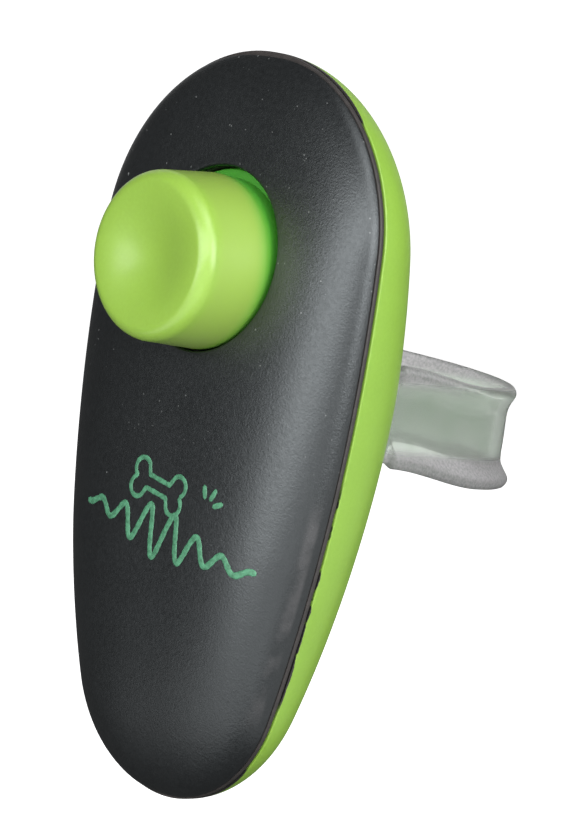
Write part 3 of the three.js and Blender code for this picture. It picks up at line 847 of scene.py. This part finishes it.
class Nodes:
    """Short calls for building one material's node tree."""

    def __init__(self, name):
        self.material = bpy.data.materials.new(name)
        self.material.use_nodes = True
        self.tree = self.material.node_tree
        self.shader = self.tree.nodes["Principled BSDF"]
        self.coords = self.add("ShaderNodeTexCoord").outputs["Object"]

    def add(self, kind, **settings):
        node = self.tree.nodes.new(kind)
        for key, value in settings.items():
            setattr(node, key, value)
        return node

    def link(self, source, target):
        self.tree.links.new(source, target)

    def noise(self, size_mm, detail):
        """Noise whose lumps are about size_mm across."""
        node = self.add("ShaderNodeTexNoise")
        self.link(self.coords, node.inputs["Vector"])
        node.inputs["Scale"].default_value = 1 / (size_mm * MM)
        node.inputs["Detail"].default_value = detail
        node.inputs["Roughness"].default_value = 0.55
        return node.outputs["Fac"]

    def specks(self, cell_mm, radius, share):
        """A mask of small round specks: radius is a part of the cell, share how many cells have one."""
        cells = self.add("ShaderNodeTexVoronoi")
        self.link(self.coords, cells.inputs["Vector"])
        cells.inputs["Scale"].default_value = 1 / (cell_mm * MM)
        chosen = self.ramp(cells.outputs["Color"], [(share - 0.01, 1.0), (share, 0.0)])
        near = self.ramp(cells.outputs["Distance"], [(radius, 1.0), (radius * 1.6, 0.0)])
        return self.maths("MULTIPLY", chosen, near)

    def ramp(self, source, stops):
        """stops: (position, grey or colour) pairs."""
        node = self.add("ShaderNodeValToRGB")
        self.link(source, node.inputs["Fac"])
        ramp = node.color_ramp
        while len(ramp.elements) < len(stops):
            ramp.elements.new(0.5)
        for element, (position, value) in zip(ramp.elements, stops):
            element.position = position
            colour = value if isinstance(value, tuple) else (value, value, value)
            element.color = (*colour, 1.0)
        return node.outputs["Color"]

    def mix(self, factor, first, second):
        node = self.add("ShaderNodeMix", data_type="RGBA")
        sockets = (node.inputs[0], node.inputs[6], node.inputs[7])
        for socket, value in zip(sockets, (factor, first, second)):
            if isinstance(value, bpy.types.NodeSocket):
                self.link(value, socket)
            elif isinstance(value, tuple):
                socket.default_value = (*value, 1.0)
            else:
                socket.default_value = value
        return node.outputs[2]

    def beyond(self, axis, edge_mm, soft_mm):
        """A mask that is 1 beyond a place on one axis of the case, and 0 before it."""
        edge_mm = edge_mm + ORIGIN["XYZ".index(axis)]
        split = self.add("ShaderNodeSeparateXYZ")
        self.link(self.coords, split.inputs[0])
        part = self.add("ShaderNodeMapRange", interpolation_type="SMOOTHSTEP")
        self.link(split.outputs[axis], part.inputs["Value"])
        part.inputs["From Min"].default_value = (edge_mm - soft_mm) * MM
        part.inputs["From Max"].default_value = (edge_mm + soft_mm) * MM
        return part.outputs["Result"]

    def between(self, axis, start, start_soft, end, end_soft):
        """A mask that is 1 between two places on one axis of the case."""
        return self.all_of(self.beyond(axis, start, start_soft),
                           self.other(self.beyond(axis, end, end_soft)))

    def all_of(self, *masks):
        """The product of several masks."""
        product = masks[0]
        for mask in masks[1:]:
            product = self.maths("MULTIPLY", product, mask)
        return product

    def other(self, mask):
        """The mask turned round."""
        return self.maths("SUBTRACT", 1.0, mask)

    def maths(self, operation, first, second):
        node = self.add("ShaderNodeMath", operation=operation)
        for socket, value in zip(node.inputs, (first, second)):
            if isinstance(value, bpy.types.NodeSocket):
                self.link(value, socket)
            else:
                socket.default_value = value
        return node.outputs[0]

    def bump(self, height, distance_mm, strength):
        node = self.add("ShaderNodeBump")
        self.link(height, node.inputs["Height"])
        node.inputs["Distance"].default_value = distance_mm * MM
        node.inputs["Strength"].default_value = strength
        self.link(node.outputs["Normal"], self.shader.inputs["Normal"])

    def set(self, **values):
        for key, value in values.items():
            socket = self.shader.inputs[key.replace("_", " ")]
            if isinstance(value, bpy.types.NodeSocket):
                self.link(value, socket)
            elif isinstance(value, tuple) and len(value) == 3 and len(socket.default_value) == 4:
                socket.default_value = (*value, 1.0)
            else:
                socket.default_value = value


def soft_black():
    """Satin soft-touch rubber: fine mottle, dust round the button, and a scuff by the seam."""
    n = Nodes("soft_black")
    mottle = [(0.3, (0.0042, 0.0048, 0.0052)), (0.7, (0.0090, 0.0099, 0.0105))]
    base = n.ramp(n.noise(0.4, 4), mottle)
    cloudy = n.ramp(n.noise(5.0, 2), [(0.35, 0.0), (0.7, 0.4)])
    base = n.mix(cloudy, base, (0.011, 0.0122, 0.013))
    base = n.mix(n.specks(1.2, 0.06, 0.09), base, (0.24, 0.25, 0.25))
    dusty = n.all_of(n.beyond("Z", 0.0, 6.0), n.specks(0.6, 0.09, 0.32))
    base = n.mix(dusty, base, (0.13, 0.135, 0.135))
    streaks = n.ramp(n.noise(3.2, 6), [(0.36, 0.0), (0.54, 1.0)])
    by_seam = n.all_of(n.between("Y", -2.3, 0.3, -1.4, 0.2), n.beyond("X", 4.0, 1.0),
                       n.between("Z", -21, 2.5, -5, 1.5))
    base = n.mix(n.all_of(by_seam, streaks), base, (0.044, 0.042, 0.043))
    n.set(Base_Color=base, Roughness=n.ramp(n.noise(0.3, 3), [(0.3, 0.33), (0.7, 0.43)]))
    grain = n.maths("ADD", n.noise(0.17, 2), n.maths("MULTIPLY", n.noise(0.4, 2), 0.7))
    n.bump(grain, 0.024, 0.75)
    n.shader.inputs["IOR"].default_value = 1.8
    n.shader.inputs["Specular Tint"].default_value = (0.90, 0.97, 1.0, 1.0)
    return n.material


def rigid_black():
    """Matt moulded black plastic."""
    n = Nodes("rigid_black")
    n.set(
        Base_Color=n.ramp(n.noise(0.8, 3), [(0.3, (0.031, 0.028, 0.027)), (0.7, (0.049, 0.043, 0.041))]),
        Roughness=n.ramp(n.noise(0.5, 2), [(0.3, 0.42), (0.7, 0.58)]),
    )
    n.bump(n.noise(0.2, 2), 0.01, 0.4)
    return n.material


def lime(name, colour, glow, roughness, coat):
    """Satin lime moulding with slight depth, fine moulding texture and faint flow marks."""
    n = Nodes(name)
    pale = tuple(min(c * 1.12 + 0.012, 1.0) for c in colour)
    base = n.ramp(n.noise(4.0, 2), [(0.3, tuple(c * 0.95 for c in colour)), (0.7, colour)])
    base = n.mix(n.ramp(n.noise(0.3, 2), [(0.35, 0.0), (0.75, 0.3)]), base, pale)
    rough = n.ramp(n.noise(0.4, 3), [(0.3, roughness - 0.03), (0.7, roughness + 0.04)])
    n.set(Base_Color=base, Roughness=rough)
    n.bump(n.noise(0.22, 2), 0.006, 0.35)
    n.shader.inputs["Subsurface Weight"].default_value = glow
    n.shader.inputs["Subsurface Radius"].default_value = (0.9, 1.0, 0.3)
    n.shader.inputs["Subsurface Scale"].default_value = 1.1 * MM
    n.shader.inputs["IOR"].default_value = 1.55
    n.shader.inputs["Coat Weight"].default_value = coat
    n.shader.inputs["Coat Roughness"].default_value = 0.22
    return n, base


def lime_case():
    """The back half, with ragged black flash from the skin along a part of its edge, and a
    smooth black edge at both ends of the case."""
    n, base = lime("lime_case", (0.246, 0.438, 0.054), 0.15, 0.38, 0.0)
    black = (0.022, 0.020, 0.020)
    thinning = n.maths("MULTIPLY", n.beyond("Y", 0.25, 0.25), 0.5)
    ragged = n.ramp(n.maths("SUBTRACT", n.noise(3.6, 4), thinning), [(0.38, 0.0), (0.42, 1.0)])
    low_right = n.all_of(n.beyond("X", 4.0, 1.0), n.between("Z", -21, 1.0, -3, 1.0))
    base = n.mix(n.all_of(low_right, ragged), base, black)
    ends = n.other(n.between("Z", -27.6, 2.0, 26.8, 2.0))
    cover = n.maths("SUBTRACT", n.maths("MULTIPLY", ends, 0.6), n.beyond("Y", 0.4, 0.3))
    n.set(Base_Color=n.mix(n.ramp(cover, [(0.0, 0.0), (0.04, 1.0)]), base, black))
    return n.material


def lime_button():
    """The button, with painted light: its sides a paler, less green tone as a painted sheen, and a
    painted shade of deeper green from its foot to its collar.
    """
    n, base = lime("lime_button", (0.290, 0.490, 0.062), 0.2, 0.42, 0.6)
    # painted sheen: the sides below the rim take a paler, less green tone for the whitish sheen that
    # light lays on the wall
    base = n.mix(n.beyond("Y", -9.0, 0.5), base, (0.288, 0.460, 0.070))
    # painted shade: from the foot down to the collar the green turns deep and dark, for the shade in the
    # opening and the green light bounced between collar and wall
    n.set(Base_Color=n.mix(n.beyond("Y", -4.45, 1.1), base, (0.08, 0.42, 0.036)))
    return n.material


def clear_elastomer():
    """Clear flexible band: smooth at its waist, and frosted on its flared edges."""
    n = Nodes("clear_elastomer")
    flared = n.other(n.between("Z", BAND_Z - 2.9, 0.5, BAND_Z + 2.7, 0.5))
    grain = n.ramp(n.noise(0.22, 3), [(0.35, 0.0), (0.65, 1.0)])
    waist = n.ramp(n.noise(2.5, 2), [(0.3, (0.46, 0.52, 0.455)), (0.7, (0.52, 0.56, 0.515))])
    frost = n.mix(grain, (0.26, 0.27, 0.265), (0.50, 0.48, 0.495))
    n.set(
        Base_Color=n.mix(flared, waist, frost),
        Roughness=n.maths("ADD", 0.14, n.maths("MULTIPLY", flared, 0.2)),
    )
    n.bump(n.maths("ADD", n.noise(1.6, 2), n.all_of(flared, grain)), 0.03, 0.4)
    n.shader.inputs["Transmission Weight"].default_value = 0.88
    n.shader.inputs["IOR"].default_value = 1.49
    return n.material


def metal(name, colour, roughness, streak):
    """Steel with fine rolling or plating marks."""
    n = Nodes(name)
    stretch = n.add("ShaderNodeMapping")
    n.link(n.coords, stretch.inputs["Vector"])
    stretch.inputs["Scale"].default_value = streak
    grain = n.add("ShaderNodeTexNoise")
    n.link(stretch.outputs["Vector"], grain.inputs["Vector"])
    grain.inputs["Scale"].default_value = 1 / (0.3 * MM)
    grain.inputs["Detail"].default_value = 3
    fac = grain.outputs["Fac"]
    dark = tuple(c * 0.82 for c in colour)
    n.set(
        Base_Color=n.ramp(fac, [(0.3, dark), (0.7, colour)]),
        Roughness=n.ramp(fac, [(0.3, roughness - 0.06), (0.7, roughness + 0.08)]),
    )
    n.bump(fac, 0.006, 0.4)
    n.shader.inputs["Metallic"].default_value = 1.0
    return n.material


def printed_ink():
    """Teal pad-printed ink, a little patchy and worn at its edges."""
    n = Nodes("printed_ink")
    n.set(
        Base_Color=n.ramp(n.noise(0.35, 3), [(0.28, (0.04, 0.15, 0.08)), (0.62, (0.088, 0.30, 0.165))]),
        Roughness=n.ramp(n.noise(0.3, 2), [(0.3, 0.45), (0.7, 0.6)]),
    )
    n.bump(n.noise(0.18, 2), 0.01, 0.4)
    return n.material


def studio_white(name):
    """Evenly lit white paper, which gives its own light so that it casts none on the object."""
    n = Nodes(name)
    n.set(
        Base_Color=(0.8, 0.8, 0.8),
        Roughness=n.ramp(n.noise(300, 2), [(0.3, 0.85), (0.7, 0.9)]),
        Emission_Color=n.ramp(n.noise(400, 2), [(0.3, 0.97), (0.7, 1.0)]),
    )
    n.shader.inputs["Emission Strength"].default_value = 1.0
    return n.material


# ------------------------------------------------------------------ assembly

SOFT_BLACK = soft_black()
RIGID_BLACK = rigid_black()
LIME_CASE = lime_case()
LIME_BUTTON = lime_button()
CLEAR = clear_elastomer()
SPRING = metal("spring_steel", (0.56, 0.56, 0.58), 0.28, (1, 1, 0.06))
ZINC = metal("zinc_plate", (0.66, 0.67, 0.70), 0.34, (1, 1, 1))
INK = printed_ink()

place(skin_piece(), "case", "soft_black", SOFT_BLACK, "front_skin")
place(front_shell_piece(), "case", "black_plastic", RIGID_BLACK, "front_shell")
place(rear_shell_piece(), "case", "lime_plastic", LIME_CASE, "rear_shell")
place(button_piece(), "button", "lime_plastic", LIME_BUTTON, "button")
place(band_piece(), "case", "clear_elastomer", CLEAR, "finger_band")
place(clamp_piece(), "case", "zinc_plated_steel", ZINC, "leaf_clamp")
place(mark_piece(), "case", "soft_black", INK)

tongue = leaf_piece()
tongue.data.materials.clear()
tongue.data.materials.append(SPRING)
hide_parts("click_leaf")
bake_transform(tongue)

for where, (x, z) in CASE_SCREWS.items():
    screw = screw_piece(f"closing_screw_{where}", x, z, 3.35, -1, 4.1)
    place(screw, "case", "zinc_plated_steel", ZINC, f"case_screw_{where}")
for where, x in (("left", -CLAMP_HOLE_X), ("right", CLAMP_HOLE_X)):
    screw = screw_piece(f"clamp_screw_{where}", x, CLAMP_Z, clamp_low[1] - ORIGIN[1] - 0.05, 1, 6.0)
    place(screw, "case", "zinc_plated_steel", ZINC, f"leaf_screw_{where}")

# ------------------------------------------------------------------ camera, light and stage

AZIMUTH = math.radians(45.8)
ELEVATION = math.radians(4.0)
ROLL = math.radians(8.05)
DISTANCE = 345.6  # mm from the case's middle
LENS = 186.0
AIM_RIGHT = 5.0  # mm: the case stands left of the picture's middle
AIM_UP = 0.48
LIGHT_DISTANCE = 0.9  # metres, as the sizes below are
LIGHTS = {  # azimuth, elevation, size, radiance, turn
    "key": (20, 12.5, (1.6, 0.47), 4.3, 16),
    "side": (80, 32, (0.6, 0.9), 2.5, 0),
    "top": (62, 60, (0.8, 0.5), 1.3, 0),
    "right": (100, 12, (0.5, 0.5), 4.9, 0),
    "back": (225, 25, (1.2, 0.8), 0.35, 0),
}
BOUNCES = {"bounce_front": (40, 1.05), "bounce_right": (118, 0.5)}  # azimuth, radiance


def row_point(point):
    """A point in case millimetres as a row-frame vector in metres."""
    return Vector((np.asarray(point, float) + ORIGIN) * MM)


def view_axes():
    """The camera's right, up and back directions, its roll included."""
    right = Vector((math.cos(AZIMUTH), math.sin(AZIMUTH), 0))
    back = Vector((math.sin(AZIMUTH) * math.cos(ELEVATION),
                   -math.cos(AZIMUTH) * math.cos(ELEVATION), math.sin(ELEVATION)))
    up = back.cross(right)
    rolled_right = right * math.cos(ROLL) + up * math.sin(ROLL)
    rolled_up = up * math.cos(ROLL) - right * math.sin(ROLL)
    return rolled_right, rolled_up, back


def aimed(location, target, up_hint):
    """World matrix of something at a location that looks at a target."""
    back = (location - target).normalized()
    right = up_hint.cross(back).normalized()
    up = back.cross(right)
    matrix = Matrix((right, up, back)).transposed().to_4x4()
    matrix.translation = location
    return matrix


def add_camera():
    right, up, back = view_axes()
    data = bpy.data.cameras.new("camera")
    data.lens = LENS
    data.sensor_width = 36
    data.clip_start = 0.01
    data.clip_end = 20
    camera = bpy.data.objects.new("camera", data)
    bpy.context.scene.collection.objects.link(camera)
    eye = row_point((0, 0, 0)) + back * DISTANCE * MM
    target = row_point((0, 0, 0)) + (right * AIM_RIGHT + up * AIM_UP) * MM
    camera.matrix_world = aimed(eye, target, up)
    bpy.context.scene.camera = camera


def add_light(name, azimuth, elevation, size, radiance, turn, distance=LIGHT_DISTANCE):
    """A soft box that looks at the case. Angles are like the camera's, and turn is about
    its own axis."""
    a, e = math.radians(azimuth), math.radians(elevation)
    away = Vector((math.sin(a) * math.cos(e), -math.cos(a) * math.cos(e), math.sin(e)))
    data = bpy.data.lights.new(name, "AREA")
    data.shape = "RECTANGLE"
    data.size, data.size_y = size
    data.energy = radiance * math.pi * size[0] * size[1]
    light = bpy.data.objects.new(name, data)
    bpy.context.scene.collection.objects.link(light)
    middle = row_point((0, 0, 0))
    facing = aimed(middle + away * distance, middle, Vector((0, 0, 1)))
    light.matrix_world = facing @ Matrix.Rotation(math.radians(turn), 4, "Z")
    light.visible_camera = False
    return light


def add_bounce(name, azimuth, radiance):
    """The light that a pale table throws up at the case from one side."""
    light = add_light(name, azimuth, 0, (0.6, 0.5), radiance, 0, distance=0.38)
    place_at = light.matrix_world.translation.copy()
    place_at.z = cad_box[0].z - 0.025
    light.matrix_world = Matrix.Translation(place_at) @ Matrix.Rotation(math.pi, 4, "X")


def add_turned_sheet(name, rows, material):
    """A round sheet of the studio set, from (radius, height) rows in metres."""
    sides = 96
    points = []
    for radius, height in rows:
        for i in range(sides):
            turn = 2 * math.pi * i / sides
            points.append((radius * math.sin(turn), radius * math.cos(turn), height))
    mesh = bpy.data.meshes.new(name)
    mesh.from_pydata(points, [], ring_faces(len(rows), sides) + [list(range(sides))])
    mesh.shade_smooth()
    mesh.materials.append(material)
    sheet = bpy.data.objects.new(name, mesh)
    bpy.context.scene.collection.objects.link(sheet)
    return sheet


def add_stage():
    """A pale floor, and a round white backdrop that casts no light of its own."""
    floor_z = cad_box[0].z - 0.03
    foot_z = floor_z - 0.001
    floor_r, sweep_r = 1.2, 0.6
    white = studio_white("stage_white")
    floor = add_turned_sheet("floor", [(r, floor_z) for r in (0.02, 0.4, 0.8, floor_r)], white)
    wall = [(r, foot_z) for r in (1.0, floor_r)]
    wall += [(floor_r + sweep_r * math.sin(t), foot_z + sweep_r * (1 - math.cos(t)))
             for t in np.radians(range(9, 91, 9))]
    wall += [(floor_r + sweep_r, floor_z + height) for height in (1.0, 1.5, 2.0)]
    backdrop = add_turned_sheet("backdrop", wall, white)
    for sheet in (floor, backdrop):
        sheet.visible_diffuse = False
        sheet.visible_glossy = False


def add_world(strength):
    world = bpy.data.worlds.new("world")
    world.use_nodes = True
    background = world.node_tree.nodes["Background"]
    background.inputs["Color"].default_value = (1, 1, 1, 1)
    background.inputs["Strength"].default_value = strength
    bpy.context.scene.world = world


add_camera()
add_stage()
add_world(0.08)
for name, settings in LIGHTS.items():
    add_light(name, *settings)
for name, settings in BOUNCES.items():
    add_bounce(name, *settings)
bpy.context.scene.view_settings.view_transform = "Standard"
